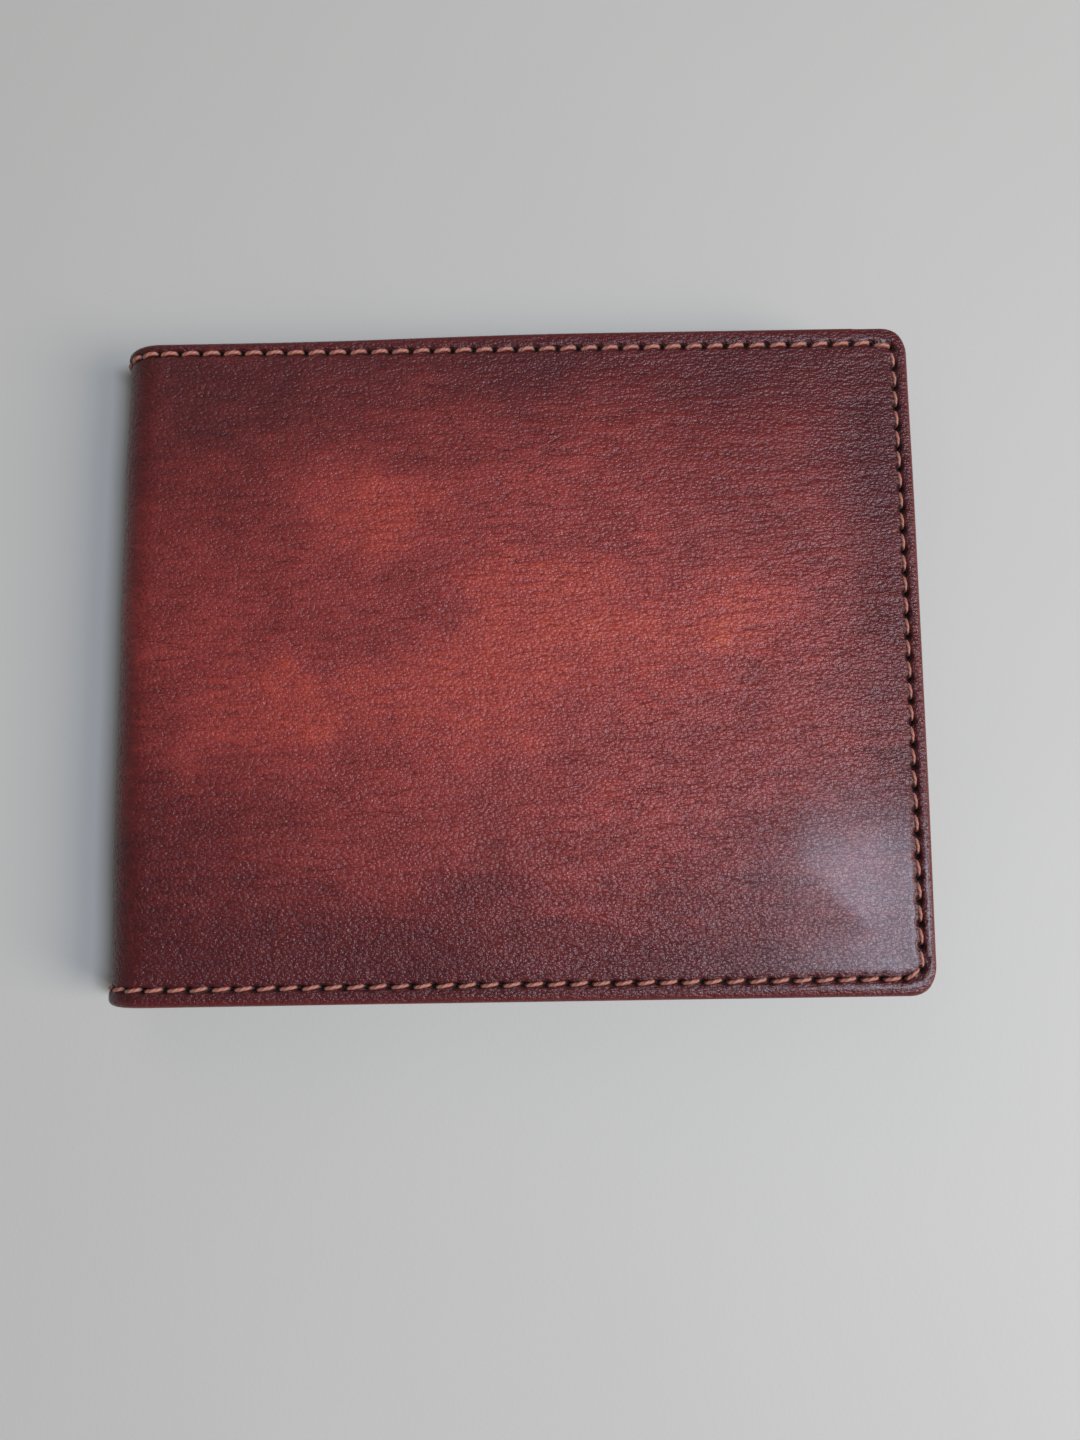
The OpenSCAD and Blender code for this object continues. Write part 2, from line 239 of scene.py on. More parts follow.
class Pattern:
    """A closed sheet on the flat pattern: rings from face to face over the edge, and two fills."""

    CORNER_STEPS = 8

    def __init__(self, rect, radii, cuts=(), step=0.3):
        self.rect, self.radii, self.cuts, self.step = rect, radii, list(cuts), step
        self.points, self.faces, self.outer, self.counts = [], [], [], {}
        self.last = None

    def side(self, name, start, end, cuts):
        """Points along one side, no further apart than the step, with points at the cuts."""
        start, end = np.array(start), np.array(end)
        axis = 0 if abs(end[0] - start[0]) > abs(end[1] - start[1]) else 1
        knots = [start[axis], *cuts, end[axis]]
        if name not in self.counts:
            self.counts[name] = [max(1, math.ceil(abs(b - a) / self.step)) for a, b in zip(knots, knots[1:])]
        values = [start[axis]]
        for a, b, n in zip(knots, knots[1:], self.counts[name]):
            values += [a + (b - a) * i / n for i in range(1, n + 1)]
        fixed = start[1 - axis]
        return [(t, fixed) if axis == 0 else (fixed, t) for t in values]

    def outline(self, inset):
        """One ring's points, anticlockwise, at an inset: one number, or left, right, bottom and top."""
        left, right, bottom, top = np.broadcast_to(inset, 4)
        u0, u1 = self.rect[0] + left, self.rect[1] - right
        v0, v1 = self.rect[2] + bottom, self.rect[3] - top
        r0 = max(self.radii[0] - max(left, bottom, top), 0.15)
        r1 = max(self.radii[1] - max(right, bottom, top), 0.15)

        def corner(u, v, r, start):
            turns = [math.radians(start + 90 * i / self.CORNER_STEPS) for i in range(1, self.CORNER_STEPS)]
            return [(u + r * math.cos(a), v + r * math.sin(a)) for a in turns]

        return (
            self.side("bottom", (u0 + r0, v0), (u1 - r1, v0), self.cuts)
            + corner(u1 - r1, v0 + r1, r1, -90)
            + self.side("right", (u1, v0 + r1), (u1, v1 - r1), [])
            + corner(u1 - r1, v1 - r1, r1, 0)
            + self.side("top", (u1 - r1, v1), (u0 + r0, v1), self.cuts[::-1])
            + corner(u0 + r0, v1 - r0, r0, 90)
            + self.side("left", (u0, v1 - r0), (u0, v0 + r0), [])
            + corner(u0 + r0, v0 + r0, r0, 180)
        )

    def ring(self, inset, depth, outer=0.0):
        """Adds a ring, joined to the one before. outer: how far it belongs to the outer face."""
        outline = self.outline(inset)
        first = len(self.points)
        for u, v in outline:
            w = depth(u, v) if callable(depth) else depth
            self.points.append((u, v, w))
            self.outer.append(outer)
        ring = list(range(first, len(self.points)))
        if self.last is not None:
            a, b, n = self.last, ring, len(ring)
            self.faces += [(b[i], b[(i + 1) % n], a[(i + 1) % n], a[i]) for i in range(n)]
        self.last = ring
        return ring

    def fill(self, ring, step, depth, outer=0.0, flip=False):
        """Closes a face inside a ring with triangles of about that size."""
        edge = [self.points[i][:2] for i in ring]
        (u0, v0), (u1, v1) = np.min(edge, axis=0), np.max(edge, axis=0)
        points, source = [Vector(p) for p in edge], list(ring)
        edges = [(i, (i + 1) % len(ring)) for i in range(len(ring))]

        def add(u, v):
            points.append(Vector((u, v)))
            source.append(None)
            return len(points) - 1

        rows = max(2, round((v1 - v0) / (step * 0.87)))
        heights = [v0 + (v1 - v0) * i / rows for i in range(1, rows)]
        for cut in self.cuts:
            gaps = [[abs(u - cut) + abs(v - end) for u, v in edge] for end in (v0, v1)]
            ends = [int(np.argmin(gap)) for gap in gaps]
            line = [ends[0], *(add(cut, v) for v in heights), ends[1]]
            edges += list(zip(line, line[1:]))
        columns = max(2, round((u1 - u0) / step))
        for j, v in enumerate(heights):
            for i in range(1, columns):
                u = u0 + (u1 - u0) * (i + 0.5 * (j % 2) - 0.25) / columns
                if all(abs(u - cut) > 0.45 * step for cut in self.cuts):
                    add(u, v)
        found, _, triangles, origin, _, _ = delaunay_2d_cdt(points, edges, [list(range(len(ring)))], 1, 1e-5)
        place = []
        for p, came in zip(found, origin):
            known = source[came[0]] if came else None
            if known is None:
                known = len(self.points)
                self.points.append((p.x, p.y, depth))
                self.outer.append(outer)
            place.append(known)
        for t in triangles:
            t = [place[i] for i in t]
            self.faces.append(tuple(t[::-1] if flip else t))

    def arrays(self):
        """The points' u, v and depth, and how far each belongs to the outer face."""
        return (*np.array(self.points, float).T, np.array(self.outer, float))

    def folded(self):
        """Where the points lie on the wallet, and the normals there."""
        places = fold(*np.array(self.points, float).T)
        return places, vertex_normals(places, self.faces)


def thin_sheet(rect, radius, d1, d2, step, cuts=(), round_off=0.1):
    """A plain sheet of cloth or board between two depths, with a softened edge."""
    pattern = Pattern(rect, (radius, radius), cuts, step)
    r = min(round_off, (d2 - d1) * 0.45)
    start = pattern.ring(r * 2, d1)
    for inset, depth in ((r, d1), (0, d1 + r), (0, d2 - r), (r, d2)):
        pattern.ring(inset, depth)
    end = pattern.ring(r * 2, d2)
    pattern.fill(start, step, d1)
    pattern.fill(end, step, d2, flip=True)
    return pattern


# ---- meshes


def add_object(name, data):
    """Puts an object with that data into the scene."""
    made = bpy.data.objects.new(name, data)
    bpy.context.scene.collection.objects.link(made)
    return made


def vertex_normals(places, faces):
    """Normals of a whole sheet, so that pieces cut from it shade as one."""
    total = np.zeros_like(places)
    for size in (3, 4):
        group = np.array([f for f in faces if len(f) == size])
        if len(group):
            corners = places[group]
            normal = np.cross(corners[:, 2] - corners[:, 0], corners[:, -1] - corners[:, 1])
            for k in range(size):
                np.add.at(total, group[:, k], normal)
    return total / np.maximum(np.linalg.norm(total, axis=1), 1e-20)[:, None]


def open_loops(faces):
    """The loops of open edges that a cut leaves, each in the order that closes it."""
    edges = dict.fromkeys(edge for f in faces for edge in zip(f, (*f[1:], f[0])))
    ahead = {b: a for a, b in edges if (b, a) not in edges}
    loops = []
    while ahead:
        start, here = ahead.popitem()
        loop = [start]
        while here != start:
            loop.append(here)
            here = ahead.pop(here)
        loops.append(tuple(loop))
    return loops


def make_piece(name, places, faces, normals, attributes, slot):
    """A mesh object from a part of a sheet, closed where it was cut."""
    used = sorted({i for f in faces for i in f})
    place = {old: new for new, old in enumerate(used)}
    caps = open_loops(faces)
    mesh = bpy.data.meshes.new(name)
    mesh.from_pydata(places[used].tolist(), [], [tuple(place[i] for i in f) for f in [*faces, *caps]])
    for key, values in attributes.items():
        mesh.attributes.new(key, "FLOAT", "POINT").data.foreach_set("value", values[used].astype(np.float32))
    mesh.polygons.foreach_set("use_smooth", [True] * len(mesh.polygons))
    flat = [tuple(mesh.polygons[i].normal) for i in range(len(faces), len(mesh.polygons))]
    corners = [n for f in faces for n in normals[list(f)].tolist()]
    corners += [n for cap, n in zip(caps, flat) for _ in cap]
    mesh.normals_split_custom_set(corners)
    mesh.materials.append(material(slot))
    piece = add_object(name, mesh)
    return piece


def bend(piece, fold_number):
    """Bakes a piece's transform. The ends of the axis of one of the folds, between the middles of its two
    strips, are worked out but not used.
    """
    angle = (fold_number + 0.5) * STRIP / FOLD_R
    centre = np.array([SPINE_X, 0, FOLD_R])
    outwards = np.array([-math.sin(angle), 0, -math.cos(angle)])
    onwards = np.array([-math.cos(angle), 0, math.sin(angle)])
    reach = (FOLD_R - PANEL_D - 0.2) * math.sin(STRIP / FOLD_R / 2)
    middle = centre + outwards * FOLD_R
    tuple((middle - onwards * reach) * MM)
    tuple((middle + onwards * reach) * MM)
    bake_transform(piece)


def cut_at_spine(name, pattern, slot, nodes, attributes):
    """Cuts a sheet that crosses the spine into one piece for each fold."""
    places, normals = pattern.folded()
    middles = [np.mean([pattern.points[i][0] for i in f]) for f in pattern.faces]
    groups = [[] for _ in FOLDS]
    for f, u in zip(pattern.faces, middles):
        groups[sum(u > cut for cut in CUTS)].append(f)
    for k, faces in enumerate(groups):
        piece = make_piece(f"{name}_{k + 1}", places, faces, normals, attributes, slot)
        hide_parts(*nodes[k])
        bend(piece, k)


def flat_piece(name, pattern, body, slot, node, attributes):
    """Makes a piece of one half, which rides on it."""
    places, normals = pattern.folded()
    piece = make_piece(name, places, pattern.faces, normals, attributes, slot)
    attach(piece, body)
    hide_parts(node)


def nodes_across(half, strip):
    """The CAD nodes that each of the four pieces of a crossing sheet stands for."""
    return [[f"back_{half}", f"{strip}_1"], [f"{strip}_2"], [f"{strip}_3"], [f"front_{half}"]]


# ---- seams and the leather's shape


def edge_seam(pitch, inset):
    """The seam that goes round the whole cover, front, spine and back."""
    radius = max(0.4, corner_radius() - inset)
    return Seam(rounded_path(REACH - inset, TOP_Y - inset, radius, pitch), closed=True)


def corner_radius():
    return bpy.context.scene.wallet_shape.corner_radius


def panel_seams(pitch, inset, side):
    """The seams of one card panel: beside the spine and along its top."""
    u = spread(PANEL_LOW[0] + inset, side)
    top = PANEL_HIGH[1] - inset
    end = spread(SHEET_HIGH[0] - 1, side)
    down = Seam(straight((u, top), (u, pitch - TOP_Y + inset), pitch))
    across = Seam(straight((u, top), (end, top), pitch))
    return [down, across]


def stack_depth(u, v):
    """Depth of the innermost face of a half's layers at a place."""
    if v > PANEL_HIGH[1] or abs(u) < spread(PANEL_LOW[0], 1):
        return WALL_D if v > PANEL_HIGH[1] else PANEL_D
    faces = [high(f"back_card_slot_{k}")[2] for k in SLOTS]
    return max([SLOTS_D] + [d for d, mouth in zip(faces, MOUTHS) if v < mouth])


def ripple(u, v, size, seed):
    """Gentle unevenness between 0 and 1 on the flat pattern."""
    return np.array([0.5 + 0.5 * noise.noise((a / size, b / size, seed)) for a, b in zip(u, v)])


# ---- shader writing


def both_ways(operation):
    """The methods for a value to the left and to the right of a sign."""
    return (
        lambda self, other: self.math(operation, self, other),
        lambda self, other: self.math(operation, other, self),
    )


class Value:
    """A number on a shader socket, which adds a Math node for each sum."""

    def __init__(self, shader, socket):
        self.shader, self.socket = shader, socket

    def math(self, operation, *values):
        return self.shader.value("ShaderNodeMath", dict(enumerate(values)), operation=operation)

    __add__, __radd__ = both_ways("ADD")
    __sub__, __rsub__ = both_ways("SUBTRACT")
    __mul__, __rmul__ = both_ways("MULTIPLY")

    def __abs__(self):
        return self.math("ABSOLUTE", self)

    def clamp(self):
        return self.math("MINIMUM", self.math("MAXIMUM", self, 0.0), 1.0)

    def between(self, start, end):
        """0 below start and 1 above end, smooth in between."""
        ends = {"Value": self, "From Min": start, "From Max": end, "To Min": 0.0, "To Max": 1.0}
        return self.shader.value("ShaderNodeMapRange", ends, "Result", interpolation_type="SMOOTHSTEP")

    def below(self, start, end):
        return 1 - self.between(start, end)


class NodeWriter:
    """Writes nodes into one tree."""

    def __init__(self, tree):
        self.tree = tree

    def node(self, kind, inputs=None, **settings):
        """Adds a node, sets it and fills its sockets with values or links."""
        made = self.tree.nodes.new(kind)
        for key, value in settings.items():
            setattr(made, key, value)
        for key, value in (inputs or {}).items():
            self.fill(made.inputs[key], value)
        return made

    def fill(self, socket, value):
        """Links a value to a socket, or sets the socket to plain numbers."""
        if isinstance(value, Value):
            value = value.socket
        if isinstance(value, bpy.types.NodeSocket):
            self.tree.links.new(value, socket)
        elif socket.type == "RGBA":
            socket.default_value = (*value, 1)
        else:
            socket.default_value = value


class Shader(NodeWriter):
    """Writes one material's nodes."""

    def __init__(self, name):
        self.material = bpy.data.materials.new(name)
        self.material.use_nodes = True
        super().__init__(self.material.node_tree)
        self.tree.nodes.clear()

    def value(self, kind, inputs=None, output=0, **settings):
        return Value(self, self.node(kind, inputs, **settings).outputs[output])

    def place(self, scale=(1, 1, 1), turn=0.0):
        """The point on the object in millimetres, stretched and turned about Z."""
        here = self.node("ShaderNodeTexCoord").outputs["Object"]
        inputs = {"Vector": here, "Rotation": (0, 0, turn), "Scale": tuple(s / MM for s in scale)}
        return self.node("ShaderNodeMapping", inputs, vector_type="POINT").outputs[0]

    def attribute(self, name):
        return self.value("ShaderNodeAttribute", output="Fac", attribute_name=name)

    def noise(self, at, scale, detail=2.0, roughness=0.5, distortion=0.0):
        return self.value(
            "ShaderNodeTexNoise",
            {"Vector": at, "Scale": scale, "Detail": detail, "Roughness": roughness, "Distortion": distortion},
            "Fac",
        )

    def cells(self, at, scale):
        """Distance to the middle of the nearest cell."""
        return self.value("ShaderNodeTexVoronoi", {"Vector": at, "Scale": scale}, "Distance")

    def vector(self, operation, first, second):
        """Vector maths on two vectors, or on a vector and a scale."""
        key = "Scale" if operation == "SCALE" else 1
        return self.node("ShaderNodeVectorMath", {0: first, key: second}, operation=operation).outputs[0]

    def warp(self, at, by, amount, detail=2.0):
        """Moves a place by a noise of that scale, in the same units."""
        wander = self.node("ShaderNodeTexNoise", {"Vector": at, "Scale": by, "Detail": detail})
        centred = self.vector("SUBTRACT", wander.outputs["Color"], (0.5, 0.5, 0.5))
        return self.vector("ADD", at, self.vector("SCALE", centred, amount))

    def mix(self, share, first, second):
        """A colour between two, each a socket or three numbers."""
        made = self.node("ShaderNodeMix", {0: share}, data_type="RGBA", clamp_factor=True)
        for key, colour in ((6, first), (7, second)):
            self.fill(made.inputs[key], colour)
        return made.outputs[2]

    def ramp(self, value, stops):
        """Colours between stops. Every stop is placed first, since the ramp sorts them."""
        made = self.node("ShaderNodeValToRGB", {"Fac": value})
        elements = made.color_ramp.elements
        elements[1].position, elements[0].position = stops[-1][0], stops[0][0]
        for position, _ in stops[1:-1]:
            elements.new(position)
        for element, (_, colour) in zip(elements, stops):
            element.color = (*colour, 1)
        return made.outputs["Color"]

    def wave(self, at, direction, scale, distortion, detail, detail_scale=1.0):
        """Soft parallel bands across X or Y."""
        inputs = {"Vector": at, "Scale": scale, "Distortion": distortion, "Detail": detail}
        return self.value(
            "ShaderNodeTexWave", {**inputs, "Detail Scale": detail_scale}, "Fac",
            wave_type="BANDS", bands_direction=direction, wave_profile="SIN",
        )

    def bump(self, height):
        """A bump whose height is in millimetres."""
        made = self.node("ShaderNodeBump", {"Height": height, "Distance": MM, "Strength": 1.0})
        return made.outputs["Normal"]

    def finish(self, colour, roughness, relief, specular, **more):
        """Ends in a Principled surface, with a relief in millimetres and sockets named with _ for a space."""
        inputs = {key.replace("_", " "): value for key, value in more.items()}
        inputs |= {"Base Color": colour, "Roughness": roughness, "Normal": self.bump(relief)}
        surface = self.node("ShaderNodeBsdfPrincipled", {**inputs, "Specular IOR Level": specular})
        self.node("ShaderNodeOutputMaterial", {"Surface": surface.outputs[0]})
        return self.material


def grain(shader, size, depth):
    """Pebbled leather grain: its height in millimetres, and where it is between pebbles."""
    at = shader.place()
    stretched = shader.warp(shader.place((0.8, 1.25, 1.0), -0.5), 0.22 / size, 0.9 * size)
    pebble = shader.cells(stretched, 1 / size)
    small = shader.cells(shader.warp(at, 1.4 / size, 0.3 * size), 1.9 / size)
    valley = pebble.between(0.42, 0.85)
    height = (0.5 - pebble * pebble * 1.1 - small * small * 0.45) * depth
    return height, valley


def streaks(shader, angle, length, width, shift):
    """Soft stretch marks that run at an angle to X, around 0.5."""
    stretched = shader.place((1 / length, 1 / width, 1 / width), angle)
    moved = shader.vector("ADD", stretched, (shift, shift * 1.7, 0))
    return shader.noise(shader.warp(moved, 0.5, 1.1, 2.0), 1.0, 3.0, 0.55)


def patch(shader, x, y, reach_x, reach_y):
    """1 at a place in millimetres on the cover, falling softly to 0 at its reach."""
    parts = shader.node("ShaderNodeSeparateXYZ", {"Vector": shader.warp(shader.place(), 0.07, 14.0, 3.0)})
    across = (Value(shader, parts.outputs["X"]) - x) * (1 / reach_x)
    along = (Value(shader, parts.outputs["Y"]) - y) * (1 / reach_y)
    return (across * across + along * along).below(0.0, 1.0)


RUBBED = ((-38.0, -9.0, 19.0), (-8.0, -5.0, 20.0), (7.0, 4.0, 22.0), (-22.0, 22.0, 18.0), (28.0, 6.0, 16.0))


def patina_leather(name, colours):
    """Burnished pull-up leather: warm where it is rubbed, dark red towards its edges."""
    s = Shader(name)
    at = s.place()
    edge, hole, channel = map(s.attribute, ("edge_mm", "hole", "channel"))
    blotch = s.noise(s.warp(at, 0.05, 8.0), 0.055, 3.0, 0.5)
    mottle = s.noise(at, 0.17, 5.0, 0.62, 0.3)
    speckle = s.noise(at, 1.1, 3.0, 0.6)
    height, valley = grain(s, 0.46, 0.12)
    along = streaks(s, -0.14, 4.2, 0.75, 3.0)
    broad = streaks(s, -0.2, 16.0, 3.6, 8.0)
    upright = streaks(s, -1.15, 4.6, 0.9, 21.0)
    turn = s.noise(at, 0.02, 1.0).between(0.4, 0.6)
    wrinkle = along * (1 - turn * 0.7) + upright * (turn * 0.7)
    fold_line = abs(streaks(s, -0.3, 11.0, 2.6, 14.0) - 0.5).below(0.0, 0.022)
    fold_line = fold_line * s.noise(at, 0.05, 1.0).between(0.5, 0.62)
    middle = patch(s, 3.0, 1.0, FREE_X * 1.2, TOP_Y * 1.05)
    warmth = patch(s, SPINE_X + 3.0, 8.0, 17.0, 12.0) * 0.6
    for x, y, reach in RUBBED:
        warmth = warmth.math("MAXIMUM", warmth, patch(s, x, y, reach, reach * 0.6) * 0.9)
    tone = 0.27 + middle * 0.26 + warmth * 0.15 + (blotch - 0.5) * 0.24 + (mottle - 0.5) * 0.26
    tone = tone + (wrinkle - 0.5) * 0.36 + (broad - 0.5) * 0.2
    tones = (colours.border, colours.shade, colours.base, colours.warm, colours.glow)
    colour = s.ramp(tone, list(zip((0.16, 0.36, 0.54, 0.68, 0.84), tones)))
    border = (edge + (blotch - 0.5) * 16.0 + (wrinkle - 0.5) * 5.0).below(1.0, 15.0)
    colour = s.mix(border * 0.72, colour, colours.border)
    # Painted shade: the valleys between the grain's pebbles and the fold creases are darkened towards the
    # border colour
    colour = s.mix((valley * 0.30 + fold_line * 0.35).clamp(), colour, colours.border)
    colour = s.mix(speckle.between(0.55, 0.75) * 0.12, colour, colours.glow)
    colour = s.mix(edge.below(0.3, 1.3) * 0.6, colour, colours.rim)
    # Painted shade: the stitch channel and the needle holes are darkened towards the near-black hole colour
    colour = s.mix((channel * 0.45 + hole).clamp(), colour, colours.hole)
    roughness = 0.25 + mottle * 0.08 + valley * 0.16 + speckle * 0.06 + channel * 0.2
    relief = height + (wrinkle - 0.5) * 0.34 + (broad - 0.5) * 0.25 - fold_line * 0.05
    return s.finish(colour, roughness, relief, 0.36, Coat_Weight=0.1, Coat_Roughness=0.2)


def pocket_leather(name, colours):
    """Smoother, darker leather of the card panels and slots, with painted edges."""
    s = Shader(name)
    at = s.place()
    edge, hole, channel = map(s.attribute, ("edge_mm", "hole", "channel"))
    mottle = s.noise(at, 0.12, 5.0, 0.6, 0.3)
    height, valley = grain(s, 0.5, 0.06)
    colour = s.ramp(mottle, [(0.35, colours.border), (0.62, colours.shade)])
    # Painted shade in the valleys between the grain's pebbles
    colour = s.mix(valley * 0.4, colour, colours.hole)
    colour = s.mix(edge.below(0.25, 0.6) * 0.7, colour, colours.hole)
    # Painted shade in the stitch channels and needle holes
    colour = s.mix((channel * 0.35 + hole * 0.95).clamp(), colour, colours.hole)
    roughness = 0.42 + mottle * 0.12 + valley * 0.1
    return s.finish(colour, roughness, height, 0.5)


def twill_cloth(name, colours):
    """Dark twill with diagonal ribs."""
    s = Shader(name)
    at = s.place(turn=math.radians(27))
    rib = s.wave(at, "X", 0.62, 0.35, 2.0, 1.5)
    across = s.wave(at, "Y", 1.1, 0.5, 1.0)
    wear = s.noise(s.place(), 0.08, 4.0)
    light = tuple(c * 1.9 for c in colours.lining)
    colour = s.mix(rib * 0.6 + wear * 0.3, colours.lining, light)
    relief = rib * 0.05 + across * 0.025
    return s.finish(colour, 0.75 + wear * 0.15, relief, 0.3, Sheen_Weight=0.15, Sheen_Roughness=0.4)


def fibre_board(name, colours):
    """Pressed fibre board of the stiffeners."""
    s = Shader(name)
    fibre = s.noise(s.place((0.3, 2.0, 1.0), 0.4), 1.2, 4.0, 0.7)
    fleck = s.noise(s.place(), 2.5, 2.0).between(0.6, 0.7)
    dark = tuple(c * 0.62 for c in colours.board)
    colour = s.mix((fibre * 0.7 + fleck * 0.3).clamp(), colours.board, dark)
    return s.finish(colour, 0.85, fibre * 0.03, 0.2)


def waxed_thread(name, colours):
    """Waxed two-ply thread with its twist."""
    s = Shader(name)
    ply = s.node("ShaderNodeAttribute", attribute_name="ply").outputs["Vector"]
    parts = s.node("ShaderNodeSeparateXYZ", {"Vector": ply})
    around = Value(s, parts.outputs["Y"]).math("ARCTAN2", parts.outputs["Y"], parts.outputs["X"])
    along = s.attribute("strand")
    turns = around * 2.0 + along * 22.0
    twist = turns.math("SINE", turns) * 0.5 + 0.5
    wear = s.noise(s.place(), 0.25, 4.0)
    dark = tuple(c * 0.45 for c in colours.thread)
    # Darker in the grooves of the twist, which is painted shade, and in random worn patches
    colour = s.mix((1 - twist) * 0.55 + wear.between(0.5, 0.75) * 0.3, colours.thread, dark)
    # Painted shade at both ends of each stitch, where the thread goes into its hole
    colour = s.mix(along.between(0.82, 1.0) * 0.7, colour, colours.hole)
    colour = s.mix(along.below(0.0, 0.16) * 0.7, colour, colours.hole)
    return s.finish(colour, 0.5 + wear * 0.1, twist * 0.05, 0.4)


def floor_material(colour):
    """Plain pale sheet with a faint soft mottle."""
    s = Shader("floor")
    cloud, tooth = s.noise(s.place(), 0.02, 3.0), s.noise(s.place(), 1.6, 3.0, 0.6)
    mottled = s.mix(cloud, colour, tuple(c * 0.955 for c in colour))
    return s.finish(mottled, 0.62, tooth * 0.02, 0.3)


FINISHES = {
    "cover_leather": patina_leather, "inner_leather": pocket_leather, "lining": twill_cloth,
    "board": fibre_board, "thread": waxed_thread,
}


def material(slot):
    """The finish of one of the frame's slots, made the first time it is asked for."""
    maker = FINISHES[slot]
    name = maker.__name__
    return bpy.data.materials.get(name) or maker(name, bpy.context.scene.wallet_finish)


# ---- stitches by Geometry Nodes


STRAY = 0.035  # radians that a stitch may stray from the others' lean
STITCH_MIDDLE = 0.45  # share of the way from one hole to the next, clear of the hole it goes into


def stitch_tree():
    """One thread loop on each point, along the point's own direction, shared by every seam."""
    if "stitches" in bpy.data.node_groups:
        return bpy.data.node_groups["stitches"]
    tree = bpy.data.node_groups.new("stitches", "GeometryNodeTree")

    def socket(name, kind, in_out="INPUT"):
        return tree.interface.new_socket(name, in_out=in_out, socket_type=f"NodeSocket{kind}")

    socket("Points", "Geometry")
    defaults = {"Length": 0.0024, "Thickness": 0.00048, "Rise": 0.0003, "Dip": 0.0006, "Lean": 0.08}
    for name, default in defaults.items():
        socket(name, "Float").default_value = default
    socket("Seed", "Int")
    socket("Thread", "Material")
    socket("Stitches", "Geometry", "OUTPUT")
    tree.is_modifier = True
    writer = NodeWriter(tree)

    def node(kind, inputs=None, output=0, **settings):
        return writer.node(kind, inputs, **settings).outputs[output]

    def times(value, factor):
        return node("ShaderNodeMath", {0: value, 1: factor}, operation="MULTIPLY")

    def point(x, z):
        return node("ShaderNodeCombineXYZ", {"X": x, "Z": z})

    def store(geometry, kind, name, value):
        inputs = {"Geometry": geometry, "Name": name, "Value": value}
        return node("GeometryNodeStoreNamedAttribute", inputs, data_type=kind, domain="POINT")

    def stored(name):
        return node("GeometryNodeInputNamedAttribute", {"Name": name}, "Attribute", data_type="FLOAT_VECTOR")

    given = writer.node("NodeGroupInput").outputs
    end, dip, rise = times(given["Length"], 0.5), times(given["Dip"], -1.0), given["Rise"]
    loop = node(
        "GeometryNodeCurvePrimitiveBezierSegment",
        {
            "Resolution": 9, "Start": point(times(end, -1.0), dip), "End": point(end, dip),
            "Start Handle": point(times(end, -0.95), rise), "End Handle": point(times(end, 0.95), rise),
        },
        mode="POSITION",
    )
    loop = store(loop, "FLOAT", "strand", node("GeometryNodeSplineParameter", output="Factor"))
    outline = {"Resolution": 8, "Radius": times(given["Thickness"], 0.5)}
    section = node("GeometryNodeCurvePrimitiveCircle", outline, mode="RADIUS")
    section = store(section, "FLOAT_VECTOR", "ply", node("GeometryNodeInputPosition"))
    stitch = node("GeometryNodeCurveToMesh", {"Curve": loop, "Profile Curve": section, "Fill Caps": True})
    stitch = node("GeometryNodeSetShadeSmooth", {"Geometry": stitch, "Shade Smooth": True})
    upright = node("FunctionNodeAlignRotationToVector", {"Vector": stored("out")}, axis="Z")
    onwards = {"Rotation": upright, "Vector": stored("along")}
    facing = node("FunctionNodeAlignRotationToVector", onwards, axis="X", pivot_axis="Z")
    ends = {2: -STRAY, 3: STRAY, "Seed": given["Seed"]}
    stray = node("FunctionNodeRandomValue", ends, 1, data_type="FLOAT")
    lean = node("ShaderNodeMath", {0: given["Lean"], 1: stray}, operation="ADD")
    turn = node("FunctionNodeAxisAngleToRotation", {"Axis": (0, 0, 1), "Angle": lean})
    turned = {"Rotation": facing, "Rotate By": turn}
    rotation = node("FunctionNodeRotateRotation", turned, rotation_space="LOCAL")
    instances = {"Points": given["Points"], "Instance": stitch, "Rotation": rotation}
    real = node("GeometryNodeRealizeInstances", {"Geometry": node("GeometryNodeInstanceOnPoints", instances)})
    done = node("GeometryNodeSetMaterial", {"Geometry": real, "Material": given["Thread"]})
    writer.node("NodeGroupOutput", {"Stitches": done})
    return tree


def sew(name, stitches, length, lean):
    """Makes the stitches at those places as one piece."""
    places, alongs, outs = (np.array([s[k] for s in stitches]) for k in range(3))
    mesh = bpy.data.meshes.new(name)
    mesh.from_pydata(places.tolist(), [], [])
    for key, values in (("along", alongs), ("out", outs)):
        flat = values.astype(np.float32).ravel()
        mesh.attributes.new(key, "FLOAT_VECTOR", "POINT").data.foreach_set("vector", flat)
    holder = add_object(name, mesh)
    tree = stitch_tree()
    modifier = holder.modifiers.new("stitches", "NODES")
    modifier.node_group = tree
    shape = bpy.context.scene.wallet_shape
    wanted = {
        "Length": length * MM, "Thickness": shape.thread_thickness * MM, "Lean": lean,
        "Seed": shape.seed, "Thread": material("thread"),
    }
    for item in tree.interface.items_tree:
        if item.in_out == "INPUT" and item.name in wanted:
            modifier[item.identifier] = wanted[item.name]
    bpy.context.view_layer.update()
    graph = bpy.context.evaluated_depsgraph_get()
    made = bpy.data.meshes.new_from_object(
        holder.evaluated_get(graph), preserve_all_data_layers=True, depsgraph=graph
    )
    bpy.data.objects.remove(holder)
    made.name = name
    piece = add_object(name, made)
    return piece


def stitch_places(seam, depth, inwards=False):
    """A seam's stitches: the middle of each at a depth, its direction, the way out and its u."""
    places = []
    for start, end in zip(seam.starts, seam.ends):
        u, v = start + (end - start) * STITCH_MIDDLE
        w = depth(u, v)
        middle = fold(u, v, w)
        along = fold(*end, w) - fold(*start, w)
        out = fold(u, v, w + (0.5 if inwards else -0.5)) - middle
        places.append((middle, along, out, u))
    return places


